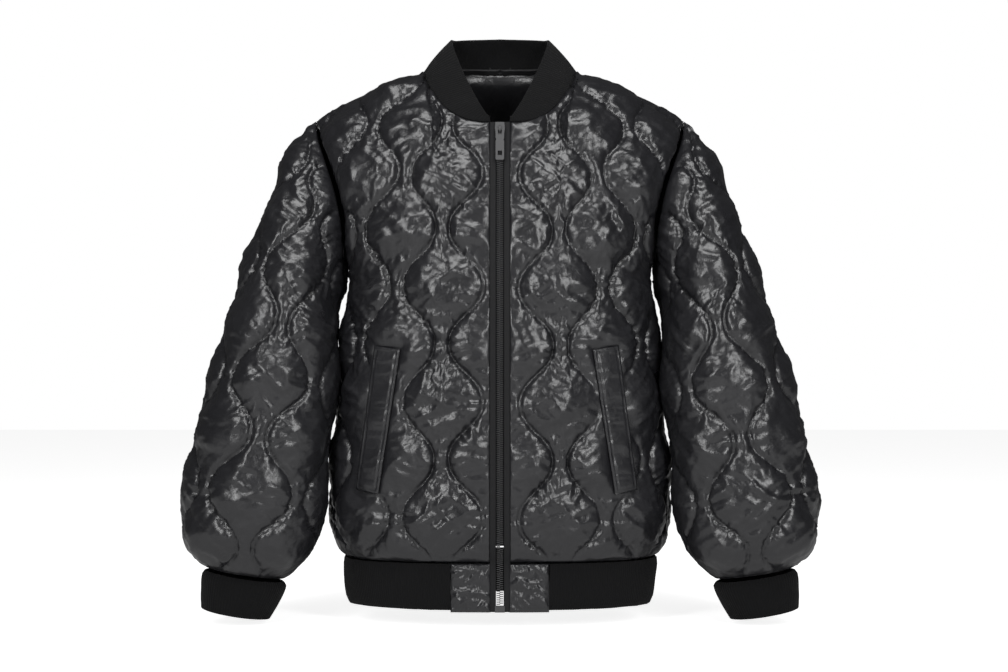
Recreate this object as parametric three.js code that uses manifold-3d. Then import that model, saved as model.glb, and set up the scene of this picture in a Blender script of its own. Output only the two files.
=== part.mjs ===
// Quilted blouson jacket with rib collar, cuffs and hem, zipped up and filled out as it is worn.
// Millimetres, +Z up, the front faces -Y. The origin is the middle of the neck base,
// level with the two points where the shoulder seams meet the collar.
import * as THREE from 'three';
import * as BufferGeometryUtils from 'three/addons/utils/BufferGeometryUtils.js';
import Module from 'manifold-3d';

const wasm = await Module();
wasm.setup();

// ---- driving sizes ----
const quiltWall = 5;        // outer cloth, wadding and lining between two stitch lines
const seamWall = 1;         // the same cloth pressed flat in a seam
const ribWall = 3;          // doubled rib knit
const liningWall = 1.2;
const seamGap = 0.5;        // between two sewn pieces
const armholeGap = 1.5;
const zipEdge = 11.3;       // from the middle of the zip to the edge of a front
const neckHalf = 94;        // middle of the neck to the end of a shoulder seam
const neckDropFront = 71;
const neckRiseBack = 5;
const neckReachFront = 90;  // neck side point forward to the zip
const neckReachBack = 70;
const neckSideY = 5;
const collarStand = 2.2;     // the collar's lower edge above the neck line
const shoulderTip = { x: 231, y: 5, z: -62 };
const sectionPower = 2.5;   // roundness of a level section of the body
const yokeStart = 0.6;      // height share where the front starts to bend over the shoulder
const armholeStart = 0.65;  // height share of the underarm point
const hemSeamZ = -605;
const hemBottomZ = -662;
const tabWidth = 48;        // quilted tab beside the zip, between it and the rib
const sleeveClear = 6.5;

// ---- short tables: one row for each level of the garment ----
const named = (columns, rows) => rows.map((row) =>
  Object.fromEntries(columns.map((column, k) => [column, row[k]])));

// at: height share; zIn, yFront, yBack: centre line; zOut, xOut: side seam, then armhole
const torsoRows = named(
  ['at', 'zFront', 'yFront', 'zBack', 'yBack', 'zOut', 'xOut', 'yOutFront', 'yOutBack'], [
    [0.00, -605, -121, -605, 108, -605, 194, 0, 0],
    [0.035, -585, -131, -585, 119, -585, 208, 0, 0],
    [0.09, -555, -135, -555, 124, -555, 213, 0, 0],
    [0.20, -500, -137, -500, 124, -500, 212, 0, 0],
    [0.38, -400, -137, -400, 122, -400, 203, 0, 0],
    [0.55, -310, -134, -310, 125, -310, 197, 0, 0],
    [0.65, -250, -129, -245, 128, -268, 190, 0, 0],
    [0.70, -215, -124, -205, 130, -240, 189, -38, 40],
    [0.76, -180, -117, -160, 129, -205, 190, -58, 60],
    [0.83, -145, -110, -110, 123, -160, 198, -62, 64],
    [0.90, -112, -100, -60, 109, -115, 213, -46, 50],
    [0.96, -85, -90, -16, 88, -82, 225, -20, 28],
    [1.00, -71, -85, 5, 75, -62, 231, 5, 5],
  ]);
const shoulderLine = named(['at', 'z'], [
  [94, 0], [126, -9.5], [162, -24.5], [195, -39.5], [231, -62],
]);

// xTop, zTop: outer line of the sleeve; xLow, zLow: its inner line; y, depth: middle and
// half depth of the ring; grip: how much of the armhole's shape is left
const sleeveRows = named(['at', 'xTop', 'zTop', 'xLow', 'zLow', 'y', 'depth', 'grip'], [
  [0.00, 231, -62, 190, -268, 5, 62, 1],
  [0.04, 244, -75, 193, -277, -6, 68, 0.75],
  [0.10, 261, -105, 197, -290, -16, 74, 0.4],
  [0.18, 281, -150, 199, -306, -27, 78, 0.12],
  [0.26, 298, -196, 199, -328, -37, 80, 0],
  [0.38, 321, -263, 198, -362, -48, 81, 0],
  [0.51, 343, -337, 200, -408, -56, 81, 0],
  [0.64, 364, -411, 206, -458, -61, 80, 0],
  [0.77, 380, -484, 211, -508, -64, 79, 0],
  [0.87, 389, -543, 215, -550, -66, 78, 0],
  [0.93, 387, -577, 222, -582, -66, 75, 0],
  [0.97, 376, -600, 236, -606, -65, 66, 0],
  [1.00, 362, -614, 262, -629, -64, 50, 0],
]);
const cuffRows = named(['at', 'xTop', 'zTop', 'xLow', 'zLow', 'y', 'depth'], [
  [0, 360, -616.5, 265, -632, -64, 47],
  [0.12, 364, -622, 262, -638, -64, 50],
  [0.55, 366, -644, 271, -658, -64, 47],
  [1, 365, -664, 283, -678, -64, 41],
]);
// at: 0 at the zip, 1 at the shoulder seam, 2 at the middle of the back
const collarTop = named(['at', 'x', 'y', 'z'], [
  [0, 14, -85, -65], [0.25, 24, -75, -49], [0.5, 35, -56, -28], [0.75, 48, -27, 1],
  [1, 60, 12, 36], [1.4, 54, 46, 43], [2, 0, 64, 47],
]);

// ---- reading the tables ----
function sample(table, at, column) {
  let k = 1;
  while (k < table.length - 1 && table[k].at < at) k += 1;
  const [a, b] = [table[k - 1], table[k]];
  const before = table[Math.max(k - 2, 0)];
  const after = table[Math.min(k + 1, table.length - 1)];
  const span = b.at - a.at;
  const slopeA = ((b[column] - before[column]) / (b.at - before.at)) * span;
  const slopeB = ((after[column] - a[column]) / (after.at - a.at)) * span;
  const t = (at - a.at) / span;
  const rise = t * t * (3 - 2 * t);
  return a[column] + (b[column] - a[column]) * rise
    + slopeA * t * (1 - t) * (1 - t) - slopeB * t * t * (1 - t);
}

function solveAt(table, column, value) {
  let [low, high] = [0, 1];
  for (let k = 0; k < 40; k += 1) {
    const middle = (low + high) / 2;
    if (sample(table, middle, column) < value) low = middle;
    else high = middle;
  }
  return (low + high) / 2;
}

const degrees = (angle) => (angle * Math.PI) / 180;
const spread = (from, to, steps) =>
  Array.from({ length: steps + 1 }, (unused, k) => from + ((to - from) * k) / steps);

// ---- the body's form ----
// The neck line: share 0 at the centre line, 1 at the shoulder seam.
function neckPoint(isFront, share) {
  const angle = degrees(90 * share);
  const across = Math.sin(angle);
  const along = Math.max(Math.cos(angle), 0);
  if (isFront) {
    const fall = along ** 1.7;
    return [zipEdge + (neckHalf - zipEdge) * across ** 0.8, neckSideY - neckReachFront * fall,
      -neckDropFront * fall];
  }
  return [neckHalf * across ** 0.9, neckSideY + neckReachBack * along ** 1.3, neckRiseBack * along];
}

// The top edge runs along the neck line (share 0 to 1), then the shoulder seam (1 to 2).
function topEdge(isFront, share) {
  if (share <= 1) return neckPoint(isFront, share);
  const x = neckHalf + (shoulderTip.x - neckHalf) * Math.sin(degrees(90 * (share - 1))) ** 0.8;
  return [x, neckSideY, sample(shoulderLine, x, 'z')];
}

// A point on the outside of a front or back: share 0 to 2 across, height 0 to 1 up.
function torsoPoint(isFront, share, height) {
  const edge = topEdge(isFront, share);
  const xIn = isFront ? zipEdge : 0;
  const across = (edge[0] - xIn) / (shoulderTip.x - xIn);
  const fall = Math.max(1 - across ** sectionPower, 0) ** (1 / sectionPower);
  const column = (name, at) => sample(torsoRows, at, name);
  const yCentre = isFront ? 'yFront' : 'yBack';
  const zCentre = isFront ? 'zFront' : 'zBack';
  const ySide = isFront ? 'yOutFront' : 'yOutBack';
  const sideY = (at) => (at <= armholeStart ? 0 : column(ySide, at));
  const yAt = (at) => sideY(at) + (column(yCentre, at) - sideY(at)) * fall;
  const zAt = (at) => column(zCentre, at) + (column('zOut', at) - column(zCentre, at)) * across ** 2;
  const bend = Math.max((height - yokeStart) / (1 - yokeStart), 0);
  return [
    xIn + (column('xOut', height) - xIn) * across,
    yAt(height) + (1 - Math.sqrt(1 - Math.min(bend, 1) ** 3)) * (edge[1] - yAt(1)),
    zAt(height) + bend * (edge[2] - zAt(1)),
  ];
}

// A point on the front below the chest, given by its place across and its level.
function frontAt(x, z) {
  const height = solveAt(torsoRows, 'zFront', z);
  const across = (Math.abs(x) - zipEdge) / (sample(torsoRows, height, 'xOut') - zipEdge);
  const fall = Math.max(1 - Math.max(across, 0) ** sectionPower, 0) ** (1 / sectionPower);
  return [x, sample(torsoRows, height, 'yFront') * fall, z];
}

// ---- the sleeve's form ----
function ovalPoint(row, angle) {
  const turn = Math.cos(degrees(angle));
  return [
    (row.xTop + row.xLow) / 2 - ((row.xTop - row.xLow) / 2) * turn,
    row.y - row.depth * Math.sin(degrees(angle)),
    (row.zTop + row.zLow) / 2 - ((row.zTop - row.zLow) / 2) * turn,
  ];
}

// Angle 0 is the underarm, 90 the front, 180 the outside and 270 the back.
function armholePoint(angle) {
  const isFront = angle <= 180;
  const share = (isFront ? angle : 360 - angle) / 180;
  const point = torsoPoint(isFront, 2, armholeStart + (1 - armholeStart) * share);
  return [point[0] + armholeGap, point[1], point[2]];
}

function ringRow(table, at) {
  const names = Object.keys(table[0]);
  return Object.fromEntries(names.map((name) => [name, sample(table, at, name)]));
}

// How far the body reaches sideways at a depth and a level, so that a sleeve keeps clear of it.
function bodyReach(y, z) {
  if (z > torsoRows[6].zOut) return sample(torsoRows, solveAt(torsoRows, 'zOut', z), 'xOut');
  const height = solveAt(torsoRows, 'zOut', z);
  const depth = Math.abs(sample(torsoRows, height, y < 0 ? 'yFront' : 'yBack'));
  const fall = Math.max(1 - Math.abs(y / depth) ** sectionPower, 0) ** (1 / sectionPower);
  return sample(torsoRows, height, 'xOut') * fall;
}

function sleevePoint(angle, at) {
  const row = ringRow(sleeveRows, at);
  const plain = ovalPoint(row, angle);
  const start = ovalPoint(sleeveRows[0], angle);
  const armhole = armholePoint(angle);
  const [x, y, z] = plain.map((value, k) => value + row.grip * (armhole[k] - start[k]));
  return [at > 0 ? Math.max(x, bodyReach(y, z) + sleeveClear) : x, y, z];
}

// ---- walls ----
// A closed wall behind a grid of outer points, grid[column][row]. Where isSeam says so, its
// edge stands square to the Y axis, so that a front and a back meet face to face.
function wall(grid, thickness, isTube = false, isSeam = () => false) {
  const columns = grid.length;
  const rows = grid[0].length;
  const point = (i, j) => new THREE.Vector3(...grid[isTube ? (i + columns) % columns : i][j]);
  const positions = [];
  const inner = [];
  for (let i = 0; i < columns; i += 1) {
    for (let j = 0; j < rows; j += 1) {
      const [i0, i1] = isTube ? [i - 1, i + 1] : [Math.max(i - 1, 0), Math.min(i + 1, columns - 1)];
      const alongI = point(i1, j).sub(point(i0, j));
      const alongJ = point(i, Math.min(j + 1, rows - 1)).sub(point(i, Math.max(j - 1, 0)));
      const normal = alongI.cross(alongJ);
      if (isSeam(i, j)) normal.y = 0;
      normal.normalize();
      const depth = typeof thickness === 'function' ? thickness(i, j) : thickness;
      positions.push(...grid[i][j]);
      inner.push(...point(i, j).addScaledVector(normal, -depth).toArray());
    }
  }
  const shift = columns * rows;
  const at = (i, j) => (i % columns) * rows + j;
  const faces = [];
  const quad = (a, b, c, d) => faces.push(a, b, c, a, c, d);
  const steps = isTube ? columns : columns - 1;
  for (let i = 0; i < steps; i += 1) {
    for (let j = 0; j < rows - 1; j += 1) {
      quad(at(i, j), at(i + 1, j), at(i + 1, j + 1), at(i, j + 1));
      quad(shift + at(i, j), shift + at(i, j + 1), shift + at(i + 1, j + 1), shift + at(i + 1, j));
    }
    const last = rows - 1;
    quad(at(i, 0), shift + at(i, 0), shift + at(i + 1, 0), at(i + 1, 0));
    quad(at(i, last), at(i + 1, last), shift + at(i + 1, last), shift + at(i, last));
  }
  if (!isTube) {
    for (let j = 0; j < rows - 1; j += 1) {
      const end = columns - 1;
      quad(at(0, j), at(0, j + 1), shift + at(0, j + 1), shift + at(0, j));
      quad(at(end, j), shift + at(end, j), shift + at(end, j + 1), at(end, j + 1));
    }
  }
  const geometry = new THREE.BufferGeometry();
  geometry.setAttribute('position', new THREE.Float32BufferAttribute([...positions, ...inner], 3));
  geometry.setIndex(faces);
  return geometry;
}

const mirrored = (grid) => [...grid].reverse().map((column) => column.map(([x, y, z]) => [-x, y, z]));
const padded = (columns, rows) => (i, j) =>
  (i === 0 || j === 0 || i === columns - 1 || j === rows - 1 ? seamWall : quiltWall);

// ---- materials ----
const finish = (name, color, roughness, metalness = 0) =>
  new THREE.MeshStandardMaterial({ name, color, roughness, metalness });
const materials = {
  nylon: finish('nylon', 0x232326, 0.38),
  rib: finish('rib', 0x17181a, 0.95),
  lining: finish('lining', 0x1d1d20, 0.5),
  tape: finish('tape', 0x141416, 0.9),
  metal: finish('metal', 0x2a2a2c, 0.35, 0.8),
};

const jacket = new THREE.Group();
function addPiece(name, geometry, material, parent = jacket) {
  const mesh = new THREE.Mesh(geometry, material);
  mesh.name = name;
  parent.add(mesh);
  return mesh;
}

// ---- fronts and back ----
const acrossShares = [0, 0.2, 0.4, 0.58, 0.74, 0.88, 1, 1.18, 1.36, 1.54, 1.7, 1.83, 1.93, 2];
const armholeShares = [0, 0.08, 0.19, 0.31, 0.43, 0.55, 0.67, 0.79, 0.89, 0.96, 1];
const heightShares = [0, 0.035, 0.09, 0.2, 0.3, 0.38, 0.47, 0.55, 0.61,
  ...armholeShares.map((share) => armholeStart + (1 - armholeStart) * share)];

function addBody() {
  const shifted = ([x, y, z], dy) => [x, y + dy, z];
  const front = acrossShares.map((share) =>
    heightShares.map((height) => shifted(torsoPoint(true, share, height), -seamGap / 2)));
  const half = acrossShares.map((share) =>
    heightShares.map((height) => shifted(torsoPoint(false, share, height), seamGap / 2)));
  const back = [...half].reverse().concat(mirrored(half).reverse().slice(1));
  const meets = (share, height) => (share >= 1 && height === 1)
    || (share === 2 && height <= armholeStart);
  const frontSeam = (i, j) => meets(acrossShares[i], heightShares[j]);
  const lastShare = acrossShares.length - 1;
  const leftSeam = (i, j) => frontSeam(lastShare - i, j);
  const backSeam = (i, j) => frontSeam(Math.abs(lastShare - i), j);
  const thickness = padded(front.length, heightShares.length);
  addPiece('front_right', wall(front, thickness, false, frontSeam), materials.nylon);
  addPiece('front_left', wall(mirrored(front), thickness, false, leftSeam), materials.nylon);
  addPiece('back', wall(back, padded(back.length, heightShares.length), false, backSeam),
    materials.nylon);
}

// ---- sleeves and cuffs ----
function addSleeves() {
  const frontAngles = armholeShares.map((share) => 180 * share);
  const backAngles = armholeShares.slice(1, -1).map((share) => 360 - 180 * share).reverse();
  const angles = [...frontAngles, ...backAngles].reverse();
  const rings = sleeveRows.map((row) => row.at);
  const sleeve = angles.map((angle) => rings.map((at) => sleevePoint(angle, at)).reverse());
  const thickness = (i, j) => (j === 0 || j === rings.length - 1 ? seamWall : quiltWall);
  const cuff = angles.map((angle) =>
    cuffRows.map((row) => ovalPoint(row, angle)).reverse());
  addPiece('sleeve_right', wall(sleeve, thickness, true), materials.nylon);
  addPiece('sleeve_left', wall(mirrored(sleeve), thickness, true), materials.nylon);
  addPiece('cuff_right', wall(cuff, ribWall, true), materials.rib);
  addPiece('cuff_left', wall(mirrored(cuff), ribWall, true), materials.rib);
}

// ---- collar ----
function collarPoint(at, rise) {
  const seam = at <= 1 ? neckPoint(true, at) : neckPoint(false, 2 - at);
  const top = ['x', 'y', 'z'].map((name) => sample(collarTop, at, name));
  const bulge = 3 * Math.sin(Math.PI * rise) * Math.min(at, 1);
  const point = seam.map((value, k) => value + (top[k] - value) * rise);
  const reach = Math.hypot(seam[0], seam[1]);
  return [point[0] + (bulge * seam[0]) / reach, point[1] + (bulge * seam[1]) / reach,
    point[2] + collarStand * (1 - rise)];
}

function addCollar() {
  const rises = [0.03, 0.35, 0.7, 1];
  const half = spread(0, 2, 20).map((at) => rises.map((rise) => collarPoint(at, rise)));
  const collar = [...half].concat(mirrored(half).slice(1));
  const thickness = (i) => (i === 0 || i === collar.length - 1 ? seamWall : ribWall);
  addPiece('collar', wall(collar, thickness), materials.rib);
}

// ---- hem: rib from one tab round the back to the other, and the two quilted tabs ----
const hemRows = named(['at', 'z', 'size'], [
  [0, hemSeamZ - seamGap, 0.999], [0.15, -614, 1.005], [0.6, -640, 0.992], [0.9, -657, 0.978],
  [1, hemBottomZ, 0.96],
]);

function hemPoint(angle, size, z) {
  const [across, along] = [Math.sin(degrees(angle)), Math.cos(degrees(angle))];
  const row = torsoRows[0];
  const depth = along > 0 ? row.yFront : -row.yBack;
  return [row.xOut * size * Math.sign(across) * Math.abs(across) ** (2 / sectionPower),
    depth * size * Math.sign(along) * Math.abs(along) ** (2 / sectionPower), z];
}

function addHem() {
  const startAngle = 13.35;
  const angles = spread(startAngle, 360 - startAngle, 44);
  const rib = angles.map((angle) =>
    hemRows.map((row) => hemPoint(angle, row.size, row.z)).reverse());
  addPiece('hem_rib', wall(rib, ribWall), materials.rib);
  const levels = [-605.5, -613, -635, -656, -664];
  const columns = spread(zipEdge, zipEdge + tabWidth, 4);
  const tab = columns.map((x) => levels.map((z) => [x, frontAt(x, hemSeamZ)[1] + 1, z]).reverse());
  const thickness = padded(columns.length, levels.length);
  addPiece('hem_tab_right', wall(tab, thickness), materials.nylon);
  addPiece('hem_tab_left', wall(mirrored(tab), thickness), materials.nylon);
}

// ---- pocket welts, lying on the fronts ----
const welt = { topIn: 115, topOut: 147, lowIn: 142, lowOut: 170, top: -346, low: -520,
  wall: 2.2, lift: 0.7 };

function addWelts() {
  const columns = spread(0, 1, 3);
  const levels = spread(0, 1, 7);
  [['pocket_welt_right', 1, -4], ['pocket_welt_left', -1, 4]].forEach(([name, side, shift]) => {
    const grid = columns.map((across) => levels.map((down) => {
      const inner = welt.topIn + (welt.lowIn - welt.topIn) * down;
      const outer = welt.topOut + (welt.lowOut - welt.topOut) * down;
      const x = inner + (outer - inner) * across + shift;
      const z = welt.top + (welt.low - welt.top) * down + 5 * (across - 0.5);
      const [px, py, pz] = frontAt(x, z);
      return [px + welt.lift, py - welt.wall - welt.lift, pz];
    }).reverse());
    addPiece(name, wall(side > 0 ? grid : mirrored(grid), welt.wall), materials.nylon);
  });
}

// ---- lining behind the neck, and the hanger loop ----
function addNeckInside() {
  const shares = spread(0, 0.86, 7);
  const levels = [0.82, 0.87, 0.92, 0.965, 0.99];
  const half = shares.map((share) => levels.map((height) => {
    const [x, y, z] = torsoPoint(false, share, height);
    return [x * 0.97, y - quiltWall - 0.8, z - 2];
  }));
  const lining = [...half].reverse().concat(mirrored(half).reverse().slice(1));
  addPiece('back_lining', wall(lining, liningWall), materials.lining);
  const loop = new THREE.Shape();
  loop.absarc(0, 0, 15, Math.PI, 2 * Math.PI, false);
  loop.absarc(0, 0, 12.4, 2 * Math.PI, Math.PI, true);
  loop.closePath();
  const strap = new THREE.ExtrudeGeometry(loop, { depth: 1.2, bevelEnabled: false, curveSegments: 10 });
  const mesh = addPiece('hanger_loop', strap, materials.tape);
  mesh.rotation.x = degrees(90);
  mesh.scale.set(1, 0.55, 1);
  mesh.position.set(0, 70.2, 11);
}

// ---- zip ----
function zipStrip(xFrom, xTo, zFrom, zTo, lift, depth) {
  const lines = spread(zFrom, zTo, 22);
  return wall([xFrom, xTo].map((x) => lines.map((z) => {
    const y = z < hemSeamZ ? torsoRows[0].yFront + 1 : frontAt(zipEdge, z)[1];
    return [x, y + lift, z];
  })), depth);
}

const slider = { z: -83, halfTop: 6, halfLow: 4.6, up: 10, down: 9, plate: 2.6, axisLift: 5.2 };
const bail = { inner: 2.6, outer: 4.4, half: 1.2 };
const pull = { half: 5.2, length: 41, thick: 1.6, windowHalf: 2.4, windowFrom: 1.4, windowTo: 7.4,
  holeHalf: 2.6, holeFrom: 29, holeTo: 35 };

function toManifold(geometry) {
  const bare = geometry.clone();
  bare.deleteAttribute('normal');
  bare.deleteAttribute('uv');
  const merged = BufferGeometryUtils.mergeVertices(bare, 1e-4);
  return new wasm.Manifold(new wasm.Mesh({
    numProp: 3,
    vertProperties: new Float32Array(merged.attributes.position.array),
    triVerts: new Uint32Array(merged.index.array),
  }));
}

function fromManifold(solid) {
  const mesh = solid.getMesh();
  const geometry = new THREE.BufferGeometry();
  geometry.setAttribute('position', new THREE.BufferAttribute(mesh.vertProperties, 3));
  geometry.setIndex(new THREE.BufferAttribute(mesh.triVerts, 1));
  return geometry;
}

function outline(points) {
  return new THREE.Shape(points.map(([x, y]) => new THREE.Vector2(x, y)));
}

function addZip() {
  const zipTop = -neckDropFront - 1;
  const zipLow = -655.5;
  addPiece('zip_tape_right', zipStrip(4.9, 10.8, zipLow, zipTop, 0.6, 1.5), materials.tape);
  addPiece('zip_tape_left', zipStrip(-10.8, -4.9, zipLow, zipTop, 0.6, 1.5), materials.tape);
  addPiece('zip_teeth', zipStrip(-4.4, 4.4, zipLow, zipTop, -0.6, 2.8), materials.metal);
  const box = new THREE.BoxGeometry(12, 4, 8);
  addPiece('zip_box', box, materials.metal).position.set(0, torsoRows[0].yFront + 2, zipLow - 4.4);

  // The slider and its pull lie along the slope of the front below the neck.
  const [, surfaceY] = frontAt(zipEdge, slider.z);
  const [, lowerY] = frontAt(zipEdge, slider.z - pull.length);
  const group = new THREE.Group();
  group.position.set(0, surfaceY, slider.z);
  group.rotation.x = -Math.atan2(surfaceY - lowerY, pull.length);
  jacket.add(group);
  const plateShape = outline([[-slider.halfLow, -slider.down], [slider.halfLow, -slider.down],
    [slider.halfTop, 2], [slider.halfTop - 0.6, slider.up], [-slider.halfTop + 0.6, slider.up],
    [-slider.halfTop, 2]]);
  const plate = new THREE.ExtrudeGeometry(plateShape, { depth: slider.plate, bevelEnabled: false });
  plate.rotateX(degrees(90));
  plate.translate(0, -1.1, 0);
  const arch = new THREE.Shape();
  arch.absarc(0, 0, bail.outer, -Math.PI / 2, Math.PI / 2, false);
  arch.lineTo(-2.2, bail.outer);
  arch.lineTo(-2.2, bail.inner);
  arch.absarc(0, 0, bail.inner, Math.PI / 2, -Math.PI / 2, true);
  arch.lineTo(-2.2, -bail.inner);
  arch.lineTo(-2.2, -bail.outer);
  const hoop = new THREE.ExtrudeGeometry(arch, { depth: 2 * bail.half, bevelEnabled: false, curveSegments: 8 });
  hoop.translate(0, 0, -bail.half);
  hoop.rotateX(degrees(90));
  hoop.rotateZ(degrees(-90));
  hoop.translate(0, -slider.axisLift, 0);
  addPiece('zip_slider', fromManifold(toManifold(plate).add(toManifold(hoop))), materials.metal, group);

  const pullShape = outline([[-pull.half + 1.4, -pull.length], [pull.half - 1.4, -pull.length],
    [pull.half, -pull.length + 1.4], [pull.half, -16], [pull.half - 0.8, -14], [pull.half, -12],
    [pull.half, 0.9], [-pull.half, 0.9], [-pull.half, -12], [-pull.half + 0.8, -14],
    [-pull.half, -16], [-pull.half, -pull.length + 1.4]]);
  const cutOut = (half, from, to) =>
    outline([[-half, -to], [half, -to], [half, -from], [-half, -from]]);
  pullShape.holes.push(cutOut(pull.windowHalf, pull.windowFrom, pull.windowTo));
  pullShape.holes.push(cutOut(pull.holeHalf, pull.holeFrom, pull.holeTo));
  const tab = new THREE.ExtrudeGeometry(pullShape, { depth: pull.thick, bevelEnabled: false });
  tab.rotateX(degrees(90));
  tab.translate(0, -slider.axisLift + pull.thick / 2, 0);
  addPiece('zip_pull', tab, materials.metal, group);
}

addBody();
addSleeves();
addCollar();
addHem();
addWelts();
addNeckInside();
addZip();

export default jacket;
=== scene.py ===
import math
import bpy
import numpy as np
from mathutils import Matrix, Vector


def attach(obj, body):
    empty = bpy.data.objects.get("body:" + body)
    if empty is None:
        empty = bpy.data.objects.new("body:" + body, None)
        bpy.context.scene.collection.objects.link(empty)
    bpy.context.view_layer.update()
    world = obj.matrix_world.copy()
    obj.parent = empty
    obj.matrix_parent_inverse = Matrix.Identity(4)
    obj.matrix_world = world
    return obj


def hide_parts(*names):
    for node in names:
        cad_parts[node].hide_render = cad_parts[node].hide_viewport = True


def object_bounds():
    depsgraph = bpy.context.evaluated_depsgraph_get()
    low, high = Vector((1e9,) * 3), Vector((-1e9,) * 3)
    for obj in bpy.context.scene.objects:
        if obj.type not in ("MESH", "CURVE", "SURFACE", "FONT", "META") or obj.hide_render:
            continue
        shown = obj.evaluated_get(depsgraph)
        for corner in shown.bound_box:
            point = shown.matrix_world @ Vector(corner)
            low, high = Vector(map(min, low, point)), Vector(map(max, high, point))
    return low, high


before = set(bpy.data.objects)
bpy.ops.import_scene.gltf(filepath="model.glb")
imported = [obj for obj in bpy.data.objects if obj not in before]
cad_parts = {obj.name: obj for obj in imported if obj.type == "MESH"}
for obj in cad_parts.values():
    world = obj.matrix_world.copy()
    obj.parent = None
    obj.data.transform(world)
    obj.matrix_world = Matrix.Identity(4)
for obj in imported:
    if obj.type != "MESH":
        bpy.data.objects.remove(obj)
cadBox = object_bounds()
mm = 0.001

# the jacket's form, in millimetres: the same rows as the frame's solids
zipEdge = 11.3
neckHalf = 94
neckDropFront = 71
neckRiseBack = 5
neckReachFront = 90
neckReachBack = 70
neckSideY = 5
shoulderTipX = 231
sectionPower = 2.5      # 2 is an ellipse, more is squarer
yokeStart = 0.6         # share of the height from which the body closes towards the shoulders
armholeStart = 0.65
armholeGap = 1.5
armpitZ = -268
hemSeamZ = -605
hemBottomZ = -662


def named(columns, rows):
    return {name: np.array([row[k] for row in rows], float) for k, name in enumerate(columns)}


torsoRows = named(
    ["at", "zFront", "yFront", "zBack", "yBack", "zOut", "xOut", "yOutFront", "yOutBack"], [
        [0.00, -605, -121, -605, 108, -605, 194, 0, 0],
        [0.035, -585, -131, -585, 119, -585, 208, 0, 0],
        [0.09, -555, -135, -555, 124, -555, 213, 0, 0],
        [0.20, -500, -137, -500, 124, -500, 212, 0, 0],
        [0.38, -400, -137, -400, 122, -400, 203, 0, 0],
        [0.55, -310, -134, -310, 125, -310, 197, 0, 0],
        [0.65, -250, -129, -245, 128, -268, 190, 0, 0],
        [0.70, -215, -124, -205, 130, -240, 189, -38, 40],
        [0.76, -180, -117, -160, 129, -205, 190, -58, 60],
        [0.83, -145, -110, -110, 123, -160, 198, -62, 64],
        [0.90, -112, -100, -60, 109, -115, 213, -46, 50],
        [0.96, -85, -90, -16, 88, -82, 225, -20, 28],
        [1.00, -71, -85, 5, 75, -62, 231, 5, 5],
    ])
shoulderLine = named(["at", "z"], [[94, 0], [126, -9.5], [162, -24.5], [195, -39.5], [231, -62]])
sleeveRows = named(["at", "xTop", "zTop", "xLow", "zLow", "y", "depth", "grip"], [
    [0.00, 231, -62, 190, -268, 5, 62, 1],
    [0.04, 244, -75, 193, -277, -6, 68, 0.75],
    [0.10, 261, -105, 197, -290, -16, 74, 0.4],
    [0.18, 281, -150, 199, -306, -27, 78, 0.12],
    [0.26, 298, -196, 199, -328, -37, 80, 0],
    [0.38, 321, -263, 198, -362, -48, 81, 0],
    [0.51, 343, -337, 200, -408, -56, 81, 0],
    [0.64, 364, -411, 206, -458, -61, 80, 0],
    [0.77, 380, -484, 211, -508, -64, 79, 0],
    [0.87, 389, -543, 215, -550, -66, 78, 0],
    [0.93, 387, -577, 222, -582, -66, 75, 0],
    [0.97, 376, -600, 236, -606, -65, 66, 0],
    [1.00, 362, -614, 262, -629, -64, 50, 0],
])
cuffRows = named(["at", "xTop", "zTop", "xLow", "zLow", "y", "depth"], [
    [0, 360, -616.5, 265, -632, -64, 47],
    [0.12, 364, -622, 262, -638, -64, 50],
    [0.55, 366, -644, 271, -658, -64, 47],
    [1, 365, -664, 283, -678, -64, 41],
])
collarTop = named(["at", "x", "y", "z"], [
    [0, 14, -85, -65], [0.25, 24, -75, -49], [0.5, 35, -56, -28], [0.75, 48, -27, 1],
    [1, 60, 12, 36], [1.4, 54, 46, 43], [2, 0, 64, 47],
])
hemRows = named(["at", "z", "size"], [
    [0, hemSeamZ - 0.5, 0.999], [0.15, -614, 1.005], [0.6, -640, 0.992], [0.9, -657, 0.978],
    [1, hemBottomZ, 0.96],
])


def sample(table, at, name):
    at = np.asarray(at, float)
    key, values = table["at"], table[name]
    k = np.clip(np.searchsorted(key, at), 1, len(key) - 1)
    before, after = np.maximum(k - 2, 0), np.minimum(k + 1, len(key) - 1)
    span = key[k] - key[k - 1]
    slopeA = (values[k] - values[before]) / (key[k] - key[before]) * span
    slopeB = (values[after] - values[k - 1]) / (key[after] - key[k - 1]) * span
    t = (at - key[k - 1]) / span
    rise = t * t * (3 - 2 * t)
    return (values[k - 1] + (values[k] - values[k - 1]) * rise
            + slopeA * t * (1 - t) ** 2 - slopeB * t * t * (1 - t))


denseAt = np.linspace(0, 1, 1500)


def solveAt(table, name, value):
    return np.interp(value, sample(table, denseAt, name), denseAt)


def neckPoint(isFront, share):
    angle = np.radians(90 * share)
    across, along = np.sin(angle), np.maximum(np.cos(angle), 0)
    if isFront:
        fall = along ** 1.7
        return (zipEdge + (neckHalf - zipEdge) * across ** 0.8, neckSideY - neckReachFront * fall,
                -neckDropFront * fall)
    return neckHalf * across ** 0.9, neckSideY + neckReachBack * along ** 1.3, neckRiseBack * along


def topEdge(isFront, share):
    nx, ny, nz = neckPoint(isFront, np.clip(share, 0, 1))
    turn = np.radians(90 * np.clip(share - 1, 0, 1))
    sx = neckHalf + (shoulderTipX - neckHalf) * np.sin(turn) ** 0.8
    onNeck = share <= 1
    return (np.where(onNeck, nx, sx), np.where(onNeck, ny, neckSideY),
            np.where(onNeck, nz, sample(shoulderLine, sx, "z")))


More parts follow.
